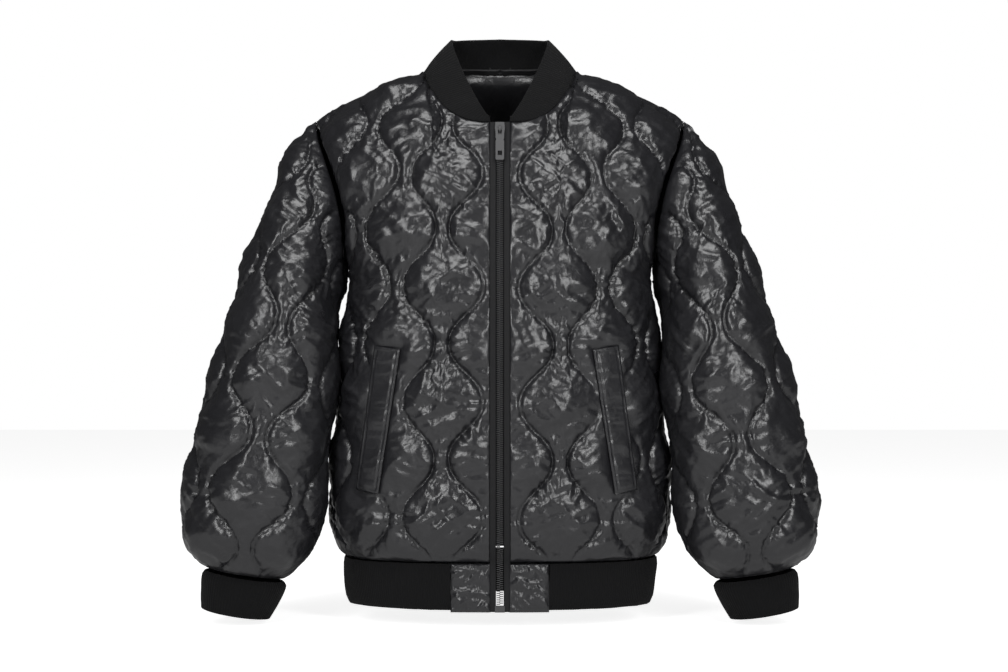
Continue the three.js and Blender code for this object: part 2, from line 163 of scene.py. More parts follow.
def torsoPoint(isFront, share, height):
    edgeX, edgeY, edgeZ = topEdge(isFront, share)
    xIn = zipEdge if isFront else 0
    across = (edgeX - xIn) / (shoulderTipX - xIn)
    fall = np.maximum(1 - across ** sectionPower, 0) ** (1 / sectionPower)
    side = "Front" if isFront else "Back"

    def column(name, at):
        return sample(torsoRows, at, name)

    def yAt(at):
        sideY = np.where(np.asarray(at) <= armholeStart, 0, column("yOut" + side, at))
        return sideY + (column("y" + side, at) - sideY) * fall

    def zAt(at):
        centre = column("z" + side, at)
        return centre + (column("zOut", at) - centre) * across ** 2

    bend = np.clip((height - yokeStart) / (1 - yokeStart), 0, 1)
    top = np.ones_like(height)
    return np.stack([
        xIn + (column("xOut", height) - xIn) * across,
        yAt(height) + (1 - np.sqrt(1 - bend ** 3)) * (edgeY - yAt(top)),
        zAt(height) + bend * (edgeZ - zAt(top)),
    ], axis=-1)


def frontAt(x, z):
    height = solveAt(torsoRows, "zFront", z)
    across = np.maximum((np.abs(x) - zipEdge) / (sample(torsoRows, height, "xOut") - zipEdge), 0)
    fall = np.maximum(1 - across ** sectionPower, 0) ** (1 / sectionPower)
    return np.stack([x, sample(torsoRows, height, "yFront") * fall, z], axis=-1)


def ovalPoint(table, at, angle):
    turn = np.cos(angle)
    part = {name: sample(table, at, name) for name in table}
    return np.stack([
        (part["xTop"] + part["xLow"]) / 2 - (part["xTop"] - part["xLow"]) / 2 * turn,
        part["y"] - part["depth"] * np.sin(angle),
        (part["zTop"] + part["zLow"]) / 2 - (part["zTop"] - part["zLow"]) / 2 * turn,
    ], axis=-1)


def bodyReach(y, z):
    height = solveAt(torsoRows, "zOut", z)
    reach = sample(torsoRows, height, "xOut")
    front = sample(torsoRows, height, "yFront")
    depth = np.abs(np.where(y < 0, front, sample(torsoRows, height, "yBack")))
    fall = np.maximum(1 - np.abs(y / depth) ** sectionPower, 0) ** (1 / sectionPower)
    return np.where(z > armpitZ, reach, reach * fall)


def sleevePoint(angle, at, clear=0.5):
    plain = ovalPoint(sleeveRows, at, angle)
    start = ovalPoint(sleeveRows, np.zeros_like(at), angle)
    turned = np.degrees(angle) % 360
    share = np.where(turned <= 180, turned, 360 - turned) / 180
    height = armholeStart + (1 - armholeStart) * share
    two = np.full_like(height, 2.0)
    armhole = np.where((turned <= 180)[..., None], torsoPoint(True, two, height),
                       torsoPoint(False, two, height)) + np.array([armholeGap, 0, 0])
    point = plain + sample(sleeveRows, at, "grip")[..., None] * (armhole - start)
    bound = bodyReach(point[..., 1], point[..., 2]) + clear * np.clip(at / 0.04, 0, 1)
    point[..., 0] = np.where(at > 0, np.maximum(point[..., 0], bound), point[..., 0])
    return point


# noise and quilting
latticeSize = 256


def lattice(seed):
    return np.random.default_rng(seed).random((latticeSize + 1, latticeSize + 1)) * 2 - 1


lattices = {seed: lattice(seed) for seed in range(1, 13)}


def noise(x, y, seed):
    table = lattices[seed]
    x0, y0 = np.floor(x).astype(int), np.floor(y).astype(int)
    fx, fy = x - x0, y - y0
    fx, fy = fx * fx * (3 - 2 * fx), fy * fy * (3 - 2 * fy)

    def corner(i, j):
        return table[(x0 + i) % latticeSize, (y0 + j) % latticeSize]

    low = corner(0, 0) * (1 - fx) + corner(1, 0) * fx
    high = corner(0, 1) * (1 - fx) + corner(1, 1) * fx
    return low * (1 - fy) + high * fy


def ridge(x, y, seed):
    return 1 - 2 * np.abs(noise(x, y, seed))


quilt = {
    "spacing": 59,      # between the middles of two stitch lines
    "frontLine": 43.5,  # from the front edge to the first line
    "backLine": 29.5,
    "swing": 21,        # how far a line swings to each side
    "round": 0.04,      # how full the wide part of a cell is
    "wave": 139.7,      # length of one swing
    "puff": 9.5,        # height of a wide cell
    "sink": 0.72,       # share of the puff that lies below the plain form
    "seamPull": 11,     # how far a seam's pull reaches
    "fullWidth": 85,    # a cell this wide has the whole puff
    "sway": 1.6,        # how far a stitch line strays
    "uneven": 0.16,     # how unevenly the cells are filled
    "pucker": 2.4,      # height of the puckers across the thread
    "puckerLength": 8,
    "finePucker": 1.0,
    "finePuckerLength": 4.4,
    "groove": 2.4,      # depth of the thread's groove
    "grooveHalf": 1.9,
    "ruffle": 1.2,      # height of the ruffles beside a seam
}

# creases that run at a slant, inside the cells or all over
slantFolds = [
    {"height": 2.0, "slant": 0.45, "length": 22, "cross": 0.4,
     "reach": 55, "bend": 1, "seed": 6, "inCell": True},
    {"height": 1.4, "slant": -0.6, "length": 14, "cross": -0.5,
     "reach": 42, "bend": -1, "seed": 7, "inCell": True},
    {"height": 0.6, "slant": 0.8, "length": 8, "cross": 0.7,
     "reach": 19, "bend": 1, "seed": 5, "inCell": False},
    {"height": 0.45, "slant": -0.3, "length": 5.5, "cross": -0.3,
     "reach": 13, "bend": 1, "seed": 2, "inCell": False},
]


def threadLines(s, t, firstLine, phase, seed):
    # the distances to the stitch lines on both sides of each point, and their slopes there
    angle = 2 * np.pi * (t - phase) / quilt["wave"]
    swing = quilt["swing"] * (np.cos(angle) - quilt["round"] * np.cos(3 * angle))
    slope = quilt["swing"] * 2 * np.pi / quilt["wave"]
    slope = slope * (3 * quilt["round"] * np.sin(3 * angle) - np.sin(angle))
    place = s + quilt["sway"] * noise(s / 70, t / 90, seed) - firstLine
    spacing = quilt["spacing"]
    below = np.full(s.shape, -1e6)
    above = np.full(s.shape, 1e6)
    slopeBelow = np.zeros_like(s)
    slopeAbove = np.zeros_like(s)
    for k in np.arange(math.floor(place.min() / spacing) - 1, math.ceil(place.max() / spacing) + 2):
        turn = 1 if k % 2 else -1
        line = k * spacing + turn * swing
        under = (line <= place) & (line > below)
        over = (line > place) & (line < above)
        below = np.where(under, line, below)
        above = np.where(over, line, above)
        slopeBelow = np.where(under, turn * slope, slopeBelow)
        slopeAbove = np.where(over, turn * slope, slopeAbove)
    toBelow = (place - below) / np.sqrt(1 + slopeBelow ** 2)
    toAbove = (above - place) / np.sqrt(1 + slopeAbove ** 2)
    return toBelow, toAbove, slopeBelow, slopeAbove


def quilting(s, t, firstLine, phase, edge, seed):
    # s across, t along, edge: distance to the nearest seam, all in mm; gives the lift in mm
    toBelow, toAbove, slopeBelow, slopeAbove = threadLines(s, t, firstLine, phase, seed)
    width = np.maximum(toBelow + toAbove, 4)
    near = np.minimum(toBelow, toAbove)
    nearBelow = toBelow < toAbove
    offset = np.where(nearBelow, toBelow, -toAbove)
    along = t + np.where(nearBelow, slopeBelow, slopeAbove) * offset
    pillow = (4 * toBelow * toAbove / width ** 2) ** 0.52
    lift = quilt["puff"] * np.clip(width / quilt["fullWidth"], 0, 1.1) ** 0.75 * pillow
    lift *= 1 + quilt["uneven"] * noise(s / 45, t / 38, seed + 1)
    # puckers that cross the stitch lines, short and sharp beside the thread
    nearThread = np.exp(-near / 11)
    stray = 0.6 * noise(s / 30, t / 30, seed + 2)
    lift += quilt["pucker"] * nearThread * ridge(along / quilt["puckerLength"] + stray, offset / 30, seed + 3)
    lift += quilt["finePucker"] * nearThread * ridge(along / quilt["finePuckerLength"], offset / 15, seed + 4)
    cell = 1 - np.exp(-near / 12)
    warp = 1.3 * noise(s / 60, t / 60, seed + 5)
    for crease in slantFolds:
        height = crease["height"] * cell if crease["inCell"] else crease["height"]
        shortWay = (t + crease["slant"] * s) / crease["length"] + crease["bend"] * warp
        longWay = (s - crease["cross"] * t) / crease["reach"]
        lift += height * ridge(shortWay, longWay, seed + crease["seed"])
    lift -= quilt["groove"] * np.exp(-(near / quilt["grooveHalf"]) ** 2)
    # every seam presses the wadding flat and ruffles the cloth beside it
    pressed = 1 - np.exp(-edge / quilt["seamPull"])
    ruffle = quilt["ruffle"] * np.exp(-edge / 14) * np.clip(edge / 2, 0, 1) * ridge(t / 8.5, s / 24, seed + 3)
    return lift * pressed + ruffle - quilt["puff"] * quilt["sink"] * (0.35 + 0.65 * pressed)


# meshes from grids
def gridNormals(grid, closed, centre):
    wide = np.concatenate([grid[-1:], grid, grid[:1]]) if closed else grid
    alongU = np.gradient(wide, axis=0)
    alongU = alongU[1:-1] if closed else alongU
    alongV = np.gradient(grid, axis=1)
    normal = np.cross(alongU, alongV)
    normal /= np.maximum(np.linalg.norm(normal, axis=-1, keepdims=True), 1e-9)
    outward = np.sum(normal * (grid - centre))
    return normal if outward > 0 else -normal


def lengths(grid, axis):
    step = np.linalg.norm(np.diff(grid, axis=axis), axis=-1)
    start = np.zeros_like(np.take(step, [0], axis=axis))
    return np.concatenate([start, np.cumsum(step, axis=axis)], axis=axis)


def edgeDistance(grid, closed):
    along = lengths(grid, 1)
    near = np.minimum(along, along[:, -1:] - along)
    if not closed:
        across = lengths(grid, 0)
        near = np.minimum(near, np.minimum(across, across[-1:] - across))
    return near


def makeMesh(name, points, quads, uv=None, material=None):
    mesh = bpy.data.meshes.new(name)
    mesh.from_pydata((points * mm).tolist(), [], quads.tolist())
    if uv is not None:
        layer = mesh.uv_layers.new(name="cut")
        loops = np.empty(len(mesh.loops), dtype=np.int32)
        mesh.loops.foreach_get("vertex_index", loops)
        layer.data.foreach_set("uv", (uv[loops] * mm).astype(np.float32).ravel())
    mesh.polygons.foreach_set("use_smooth", np.ones(len(mesh.polygons), dtype=bool))
    mesh.update()
    piece = bpy.data.objects.new(name, mesh)
    bpy.context.scene.collection.objects.link(piece)
    if material:
        mesh.materials.append(material)
    return piece


def makeWall(name, outer, inner, closed, material, uv=None):
    nu, nv = outer.shape[:2]
    index = np.arange(nu * nv).reshape(nu, nv)
    nextU = np.roll(index, -1, axis=0) if closed else index[1:]
    thisU = index if closed else index[:-1]
    shift = nu * nv
    a, b = thisU[:, :-1], nextU[:, :-1]
    c, d = nextU[:, 1:], thisU[:, 1:]
    front = np.stack([a, b, c, d], -1).reshape(-1, 4)
    behind = np.stack([a, d, c, b], -1).reshape(-1, 4) + shift
    rims = [np.stack([thisU[:, 0], thisU[:, 0] + shift, nextU[:, 0] + shift, nextU[:, 0]], -1),
            np.stack([thisU[:, -1], nextU[:, -1], nextU[:, -1] + shift, thisU[:, -1] + shift], -1)]
    if not closed:
        first, last = index[0], index[-1]
        rims.append(np.stack([first[:-1], first[1:], first[1:] + shift, first[:-1] + shift], -1))
        rims.append(np.stack([last[:-1], last[:-1] + shift, last[1:] + shift, last[1:]], -1))
    quads = np.concatenate([front, behind] + rims)
    points = np.concatenate([outer.reshape(-1, 3), inner.reshape(-1, 3)])
    p = points[quads]
    volume = np.sum(np.cross(p[:, 0], p[:, 1]) * p[:, 2]) + np.sum(np.cross(p[:, 0], p[:, 2]) * p[:, 3])
    if volume < 0:
        quads = quads[:, ::-1]
    flat = np.concatenate([uv.reshape(-1, 2)] * 2) if uv is not None else None
    return makeMesh(name, points, quads, flat, material)


def mirror(grid):
    return grid * np.array([-1, 1, 1])


# materials
def nodeGroup(name, inputs, outputs):
    group = bpy.data.node_groups.new(name, "ShaderNodeTree")
    for socket, kind, value in inputs:
        made = group.interface.new_socket(name=socket, in_out="INPUT", socket_type=kind)
        if value is not None:
            made.default_value = value
    for socket, kind in outputs:
        group.interface.new_socket(name=socket, in_out="OUTPUT", socket_type=kind)
    return group, group.nodes.new("NodeGroupInput"), group.nodes.new("NodeGroupOutput")


def fineClothGroup():
    # small crumples and a plain weave, from object coordinates
    group, inputs, outputs = nodeGroup("fineCloth", [
        ("Place", "NodeSocketVector", None), ("Crumple Size", "NodeSocketFloat", 90.0),
        ("Weave Size", "NodeSocketFloat", 1500.0), ("Weave Share", "NodeSocketFloat", 0.1)],
        [("Height", "NodeSocketFloat"), ("Patches", "NodeSocketFloat")])
    nodes, links = group.nodes, group.links
    crumple = nodes.new("ShaderNodeTexNoise")
    crumple.inputs["Detail"].default_value = 5
    crumple.inputs["Distortion"].default_value = 0.8
    weave = nodes.new("ShaderNodeTexNoise")
    weave.inputs["Detail"].default_value = 1
    patches = nodes.new("ShaderNodeTexNoise")
    patches.inputs["Scale"].default_value = 14
    patches.inputs["Detail"].default_value = 3
    mix = nodes.new("ShaderNodeMath")
    mix.operation = "MULTIPLY_ADD"
    links.new(inputs.outputs["Place"], crumple.inputs["Vector"])
    links.new(inputs.outputs["Place"], weave.inputs["Vector"])
    links.new(inputs.outputs["Place"], patches.inputs["Vector"])
    links.new(inputs.outputs["Crumple Size"], crumple.inputs["Scale"])
    links.new(inputs.outputs["Weave Size"], weave.inputs["Scale"])
    links.new(weave.outputs["Fac"], mix.inputs[0])
    links.new(inputs.outputs["Weave Share"], mix.inputs[1])
    links.new(crumple.outputs["Fac"], mix.inputs[2])
    links.new(mix.outputs[0], outputs.inputs["Height"])
    links.new(patches.outputs["Fac"], outputs.inputs["Patches"])
    return group


fineCloth = fineClothGroup()


def clothMaterial(name, look):
    material = bpy.data.materials.new(name)
    material.use_nodes = True
    nodes, links = material.node_tree.nodes, material.node_tree.links
    shader = nodes["Principled BSDF"]
    place = nodes.new("ShaderNodeTexCoord")
    detail = nodes.new("ShaderNodeGroup")
    detail.node_tree = fineCloth
    detail.inputs["Crumple Size"].default_value = look["crumpleSize"]
    detail.inputs["Weave Size"].default_value = look["weaveSize"]
    detail.inputs["Weave Share"].default_value = look["weaveShare"]
    links.new(place.outputs["Object"], detail.inputs["Place"])
    tint = nodes.new("ShaderNodeMix")
    tint.data_type = "RGBA"
    tint.inputs["A"].default_value = (*look["dark"], 1)
    tint.inputs["B"].default_value = (*look["light"], 1)
    links.new(detail.outputs["Patches"], tint.inputs["Factor"])
    links.new(tint.outputs["Result"], shader.inputs["Base Color"])
    rough = nodes.new("ShaderNodeMapRange")
    rough.inputs["To Min"].default_value = look["roughness"][0]
    rough.inputs["To Max"].default_value = look["roughness"][1]
    links.new(detail.outputs["Patches"], rough.inputs["Value"])
    links.new(rough.outputs["Result"], shader.inputs["Roughness"])
    bump = nodes.new("ShaderNodeBump")
    bump.inputs["Strength"].default_value = look["bump"]
    bump.inputs["Distance"].default_value = look["bumpDepth"]
    links.new(detail.outputs["Height"], bump.inputs["Height"])
    links.new(bump.outputs["Normal"], shader.inputs["Normal"])
    shader.inputs["Metallic"].default_value = look.get("metallic", 0)
    shader.inputs["Specular IOR Level"].default_value = look.get("specular", 0.5)
    shader.inputs["Sheen Weight"].default_value = look.get("sheen", 0)
    shader.inputs["Sheen Roughness"].default_value = 0.5
    return material


looks = {
    "nylon": {"dark": (0.009, 0.009, 0.0105), "light": (0.016, 0.016, 0.018), "roughness": (0.24, 0.36),
              "crumpleSize": 95, "weaveSize": 1800, "weaveShare": 0.05, "bump": 0.5, "bumpDepth": 0.0012,
              "specular": 0.6},
    "rib": {"dark": (0.0035, 0.0035, 0.0038), "light": (0.006, 0.006, 0.0065), "roughness": (0.85, 0.98),
            "crumpleSize": 700, "weaveSize": 1500, "weaveShare": 0.6, "bump": 0.7, "bumpDepth": 0.0006,
            "specular": 0.15, "sheen": 0.05},
    "lining": {"dark": (0.008, 0.008, 0.009), "light": (0.013, 0.013, 0.014), "roughness": (0.48, 0.6),
               "crumpleSize": 60, "weaveSize": 2200, "weaveShare": 0.04, "bump": 0.35, "bumpDepth": 0.001,
               "specular": 0.3},
    "tape": {"dark": (0.006, 0.006, 0.0065), "light": (0.011, 0.011, 0.012), "roughness": (0.75, 0.9),
             "crumpleSize": 900, "weaveSize": 1400, "weaveShare": 0.5, "bump": 0.6, "bumpDepth": 0.0004,
             "specular": 0.3},
    "metal": {"dark": (0.03, 0.03, 0.031), "light": (0.07, 0.07, 0.072), "roughness": (0.46, 0.6),
              "crumpleSize": 500, "weaveSize": 900, "weaveShare": 0.3, "bump": 0.08, "bumpDepth": 0.0002,
              "specular": 0.6, "metallic": 0.2},
}
materials = {name: clothMaterial(name, look) for name, look in looks.items()}
print("materials made")

# camera, level with the middle of the jacket
camera = bpy.data.objects.new("camera", bpy.data.cameras.new("camera"))
camera.data.lens = 85.7
camera.location = (0.005, -3.0, -0.332)
camera.rotation_euler = (math.radians(90), 0, 0)
bpy.context.scene.collection.objects.link(camera)
bpy.context.scene.camera = camera


def finishPiece(piece, node):
    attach(piece, "root")
    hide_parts(node)


def finishSheet(piece, node):
    finishPiece(piece, node)


# fronts and back
welt = {"topIn": 115, "topOut": 147, "lowIn": 142, "lowOut": 170, "top": -346, "low": -520, "lift": 0.8,
        "slope": 5, "wall": 2.6, "groove": 0.9, "grooveIn": 4.5, "crease": 0.9, "crumple": 0.35}
body = {"across": 156, "up": 235, "backAcross": 131, "backUp": 160, "wall": 4.5,
        "seamWall": 0.9, "lining": 3.2, "seamIn": 0.25, "weltShift": 4, "offcut": 3}


def bodyShares(across, up):
    # share 0 to 1 runs along the neck and 1 to 2 along the shoulder
    return np.meshgrid(2 * np.linspace(0, 1, across), np.linspace(0, 1, up), indexing="ij")


def quiltedPiece(name, grid, lift, closed, centre, wall, node):
    normal = gridNormals(grid, closed, centre)
    edge = edgeDistance(grid, closed)
    outer = grid + normal * lift[..., None]
    thin = body["seamWall"]
    depth = thin + (wall + quilt["puff"] * quilt["sink"] - thin) * (1 - np.exp(-edge / 7))
    inner = grid - normal * (depth + body["lining"])[..., None]
    uv = np.stack([np.broadcast_to(lengths(grid, 0), edge.shape), lengths(grid, 1)], -1)
    piece = makeWall(name, outer, inner, closed, materials["nylon"], uv)
    finishSheet(piece, node)


def softenYoke(grid, height):
    # evens out the fold that would run down from the end of the shoulder seam
    soft = grid.copy()
    for _ in range(60):
        soft[1:-1] = 0.25 * soft[:-2] + 0.5 * soft[1:-1] + 0.25 * soft[2:]
    share = np.clip((1 - height) / 0.08, 0, 1)[..., None]
    return grid * (1 - share) + soft * share


def levelAlong(grid, height):
    # the level up to the chest, then the length of cloth on from there over the shoulder
    along = lengths(grid, 1)
    turn = int(np.argmax(height[0] >= yokeStart))
    onward = grid[:, turn:turn + 1, 2] + along - along[:, turn:turn + 1]
    return np.where(height <= yokeStart, grid[..., 2], onward)


def weltDistance(x, z, shift):
    # how far a point of a front lies outside its pocket welt, 0 on it
    down = np.clip((z - welt["top"]) / (welt["low"] - welt["top"]), 0, 1)
    inner = welt["topIn"] + (welt["lowIn"] - welt["topIn"]) * down + shift
    outer = welt["topOut"] + (welt["lowOut"] - welt["topOut"]) * down + shift
    beside = np.maximum(np.maximum(inner - x, x - outer), 0)
    beyond = np.maximum(np.maximum(z - welt["top"], welt["low"] - z), 0)
    return np.hypot(beside, beyond)


def makeFronts():
    share, height = bodyShares(body["across"], body["up"])
    grid = softenYoke(torsoPoint(True, share, height), height) + np.array([0, -body["seamIn"], 0])
    edge = edgeDistance(grid, False)
    s = zipEdge + lengths(grid, 0)
    t = levelAlong(grid, height)
    centre = grid * np.array([0, 0, 1])
    for name, node, side, shift, offcut, phase, seed in (
            ("frontRightCloth", "front_right", 1, -body["weltShift"], 0, -134, 1),
            ("frontLeftCloth", "front_left", -1, body["weltShift"], body["offcut"], -131, 4)):
        pressed = np.minimum(edge, weltDistance(grid[..., 0], grid[..., 2], shift))
        lift = quilting(s + offcut, t, quilt["frontLine"], phase, pressed, seed)
        flip = np.array([side, 1, 1])
        quiltedPiece(name, grid * flip, lift, False, centre * flip, body["wall"], node)


def makeBack():
    share, height = bodyShares(body["backAcross"], body["backUp"])
    half = torsoPoint(False, share, height) + np.array([0, body["seamIn"], 0])
    grid = np.concatenate([half[::-1], mirror(half)[1:]])
    height = np.concatenate([height[::-1], height[1:]])
    grid = softenYoke(grid, height)
    s = lengths(grid, 0)
    s = s - s[body["backAcross"] - 1]
    t = levelAlong(grid, height)
    centre = grid * np.array([0, 0, 1])
    lift = quilting(s, t, quilt["backLine"], -134, edgeDistance(grid, False), 3)
    quiltedPiece("backCloth", grid, lift, False, centre, body["wall"], "back")


# sleeves
sleeve = {"around": 196, "along": 185, "wall": 4.5, "cells": 8, "phase": 104, "phaseStep": 2,
          "innerFlat": 0.35}     # how much flatter the quilting is beside the body


def makeSleeves():
    angle, at = np.meshgrid(np.linspace(0, 2 * np.pi, sleeve["around"], endpoint=False),
                            np.linspace(0, 1, sleeve["along"]), indexing="ij")
    grid = sleevePoint(angle, at)
    centre = grid.mean(axis=0, keepdims=True)
    t = lengths(grid, 1)[:, -1:] - lengths(grid, 1)
    s = (angle / (2 * np.pi) * sleeve["cells"] + 0.5) * quilt["spacing"]
    fromInside = np.abs(((np.degrees(angle) + 180) % 360) - 180)
    inside = np.clip(1.4 - fromInside / 50, 0, 1) * np.clip(at / 0.1, 0, 1)
    for name, side, seed, node in (("sleeveRightCloth", 1, 2, "sleeve_right"),
                                   ("sleeveLeftCloth", -1, 5, "sleeve_left")):
        phase = sleeve["phase"] + sleeve["phaseStep"] * seed
        lift = quilting(s, t, 0, phase, edgeDistance(grid, True), seed)
        lift = lift * (1 - sleeve["innerFlat"] * inside)
        flip = np.array([side, 1, 1])
        quiltedPiece(name, grid * flip, lift, True, centre * flip, sleeve["wall"], node)


# rib knit: collar, hem band and cuffs
rib = {"pitch": 3.3, "height": 0.55, "wall": 3.0, "stepsPerRib": 4,
       "lip": 1.5,             # how far the rounding of an edge reaches
       "wave": 0.9, "fineWave": 0.3}
collar = {"ribs": 135, "rows": 14, "bulge": 3, "below": 0.07}     # below: share of its height under the seam
hemBand = {"ribs": 290, "rows": 8, "start": 13.3}     # start: degrees from the middle of the front
cuffBand = {"ribs": 82, "rows": 14}


def ribPiece(name, grid, closed, centre, node, seed):
    normal = gridNormals(grid, closed, centre)
    steps = np.arange(grid.shape[0])[:, None]
    along = lengths(grid, 1)
    height = along[:, -1:]
    ridgeLift = rib["height"] * np.abs(np.sin(np.pi * steps / rib["stepsPerRib"])) ** 0.8
    ripple = rib["wave"] * noise(steps / 34 + 0 * along, along / 30, seed)
    ripple = ripple + rib["fineWave"] * noise(steps / 9 + 0 * along, along / 12, seed + 1)
    edge = np.minimum(along, height - along)
    close = np.clip(edge / rib["lip"], 0, 1)
    lip = np.sqrt(np.maximum(1 - (1 - close) ** 2, 0))
    lift = (ridgeLift + ripple) * (0.3 + 0.7 * lip) - 0.8 * (1 - lip)
    depth = 0.9 + (rib["wall"] - 1.2) * lip + 0.5 * ridgeLift * lip - ripple
    outer = grid + normal * lift[..., None]
    inner = grid - normal * depth[..., None]
    uv = np.stack([np.broadcast_to(steps * rib["pitch"] / rib["stepsPerRib"], along.shape), along], -1)
    piece = makeWall(name, outer, inner, closed, materials["rib"], uv)
    finishSheet(piece, node)


def ribRows(count):
    # rows crowd together at both edges so that the folded lip is round
    inner = np.linspace(0.03, 0.97, count)
    return np.concatenate([[0, 0.008, 0.018], inner, [0.982, 0.992, 1]])


def collarGrid(count, rows):
    at, rise = np.meshgrid(np.linspace(0, 2, count), rows, indexing="ij")
    onFront = at <= 1
    frontSeam = np.stack(neckPoint(True, np.clip(at, 0, 1)), -1)
    backSeam = np.stack(neckPoint(False, np.clip(2 - at, 0, 1)), -1)
    seam = np.where(onFront[..., None], frontSeam, backSeam)
    top = np.stack([sample(collarTop, at, name) for name in "xyz"], -1)
    reach = np.hypot(seam[..., 0], seam[..., 1])
    bulge = collar["bulge"] * np.sin(np.pi * rise) * np.minimum(at, 1) / reach
    level = -collar["below"] + (1 + collar["below"]) * rise
    point = seam + (top - seam) * level[..., None]
    point[..., 0] += bulge * seam[..., 0]
    point[..., 1] += bulge * seam[..., 1]
    return np.concatenate([point, mirror(point)[::-1][1:]])


def hemGrid(count, rows):
    start = hemBand["start"]
    angle, at = np.meshgrid(np.radians(np.linspace(start, 360 - start, count)), rows, indexing="ij")
    size = sample(hemRows, at, "size")
    z = sample(hemRows, at, "z")
    across = np.sin(angle)
    along = np.cos(angle)
    depth = np.where(along > 0, torsoRows["yFront"][0], -torsoRows["yBack"][0])
    power = 2 / sectionPower
    return np.stack([torsoRows["xOut"][0] * size * np.sign(across) * np.abs(across) ** power,
                     depth * size * np.sign(along) * np.abs(along) ** power, z], -1)


def evenAround(grid, steps):
    # the same curve with its columns at even distances, so that every rib is alike
    length = lengths(grid, 0).mean(axis=1)
    wanted = np.linspace(0, length[-1], steps)
    flat = grid.reshape(grid.shape[0], -1)
    even = np.stack([np.interp(wanted, length, flat[:, k]) for k in range(flat.shape[1])], -1)
    return even.reshape(steps, *grid.shape[1:])


def makeRibs():
    knit = evenAround(collarGrid(300, ribRows(collar["rows"])), rib["stepsPerRib"] * collar["ribs"] + 1)
    ribPiece("collarKnit", knit, False, knit * np.array([0, 0, 1]), "collar", 1)
    knit = evenAround(hemGrid(900, ribRows(hemBand["rows"])), rib["stepsPerRib"] * hemBand["ribs"] + 1)
    ribPiece("hemKnit", knit, False, knit * np.array([0, 0, 1]), "hem_rib", 3)
    turns = np.linspace(0, 2 * np.pi, rib["stepsPerRib"] * cuffBand["ribs"], endpoint=False)
    angle, at = np.meshgrid(turns, ribRows(cuffBand["rows"]), indexing="ij")
    knit = ovalPoint(cuffRows, at, angle)
    for name, side, node in (("cuffRightKnit", 1, "cuff_right"), ("cuffLeftKnit", -1, "cuff_left")):
        flip = np.array([side, 1, 1])
        ribPiece(name, knit * flip, True, knit.mean(axis=0, keepdims=True) * flip, node, 5)


# small sheets: hem tabs and pocket welts, each with a folded edge all round
fold = {"reach": 2.2, "drop": 1.2, "edgeWall": 1.3}


def smallSheet(name, grid, lift, wall, node, centre):
    normal = gridNormals(grid, False, centre)
    edge = edgeDistance(grid, False)
    close = np.clip(edge / fold["reach"], 0, 1)
    lip = np.sqrt(np.maximum(1 - (1 - close) ** 2, 0))
    outer = grid + normal * (lift - fold["drop"] * (1 - lip))[..., None]
    inner = grid - normal * (fold["edgeWall"] + (wall - fold["edgeWall"]) * lip)[..., None]
    uv = np.stack([np.broadcast_to(lengths(grid, 0), edge.shape), lengths(grid, 1)], -1)
    piece = makeWall(name, outer, inner, False, materials["nylon"], uv)
    finishSheet(piece, node)


tab = {"width": 48, "top": -605.5, "low": -664, "wall": 4.5, "puff": 2.6, "crease": 1.5, "slantCrease": 1.1,
       "crumple": 0.6}


def makeTabs():
    x, z = np.meshgrid(np.linspace(zipEdge, zipEdge + tab["width"], 52),
                       np.linspace(tab["top"], tab["low"], 60), indexing="ij")
    grid = frontAt(x, np.full_like(z, hemSeamZ)) + np.array([0, 1, 0])
    grid[..., 2] = z
    edge = edgeDistance(grid, False)
    soft = np.clip(edge / 5, 0, 1)
    for name, side, seed, node in (("tabRightCloth", 1, 3, "hem_tab_right"),
                                   ("tabLeftCloth", -1, 6, "hem_tab_left")):
        stray = 0.5 * noise(x / 12, z / 12, seed)
        lift = tab["puff"] * (1 - np.exp(-edge / 6))
        lift += tab["crease"] * ridge(z / 9 + stray, x / 20, seed) * soft
        lift += tab["slantCrease"] * ridge((z + x) / 11, (z - x) / 22, seed + 1) * soft
        lift += tab["crumple"] * ridge(x / 6, z / 15, seed + 2)
        smallSheet(name, grid * np.array([side, 1, 1]), lift, tab["wall"], node, np.array([0, 0, -635]))


def makeWelts():
    across, down = np.meshgrid(np.linspace(0, 1, 26), np.linspace(0, 1, 100), indexing="ij")
    inner = welt["topIn"] + (welt["lowIn"] - welt["topIn"]) * down
    outer = welt["topOut"] + (welt["lowOut"] - welt["topOut"]) * down
    for name, side, shift, seed, node in (("weltRightCloth", 1, -body["weltShift"], 2, "pocket_welt_right"),
                                          ("weltLeftCloth", -1, body["weltShift"], 5, "pocket_welt_left")):
        x = inner + (outer - inner) * across + shift
        z = welt["top"] + (welt["low"] - welt["top"]) * down + welt["slope"] * (across - 0.5)
        grid = frontAt(x, z) + np.array([1.0, -welt["lift"], 0])
        edge = edgeDistance(grid, False)
        stray = 0.4 * noise(x / 20, z / 30, seed)
        lift = -welt["groove"] * np.exp(-((edge - welt["grooveIn"]) / 0.9) ** 2)
        lift = lift + welt["crease"] * ridge(z / 16 + stray, x / 45, seed + 1) * np.clip(edge / 6, 0, 1)
        lift += welt["crumple"] * ridge(z / 6, x / 20, seed + 2)
        smallSheet(name, grid * np.array([side, 1, 1]), lift, welt["wall"], node, np.array([0, 0, -430]))


lining = {"reach": 0.86, "from": 0.82, "in": 5.8, "up": 4, "narrow": 0.97, "wall": 2.2,
          "pleat": 2.2, "pleatSide": 1.6, "crease": 1.1, "fineCrease": 0.5}


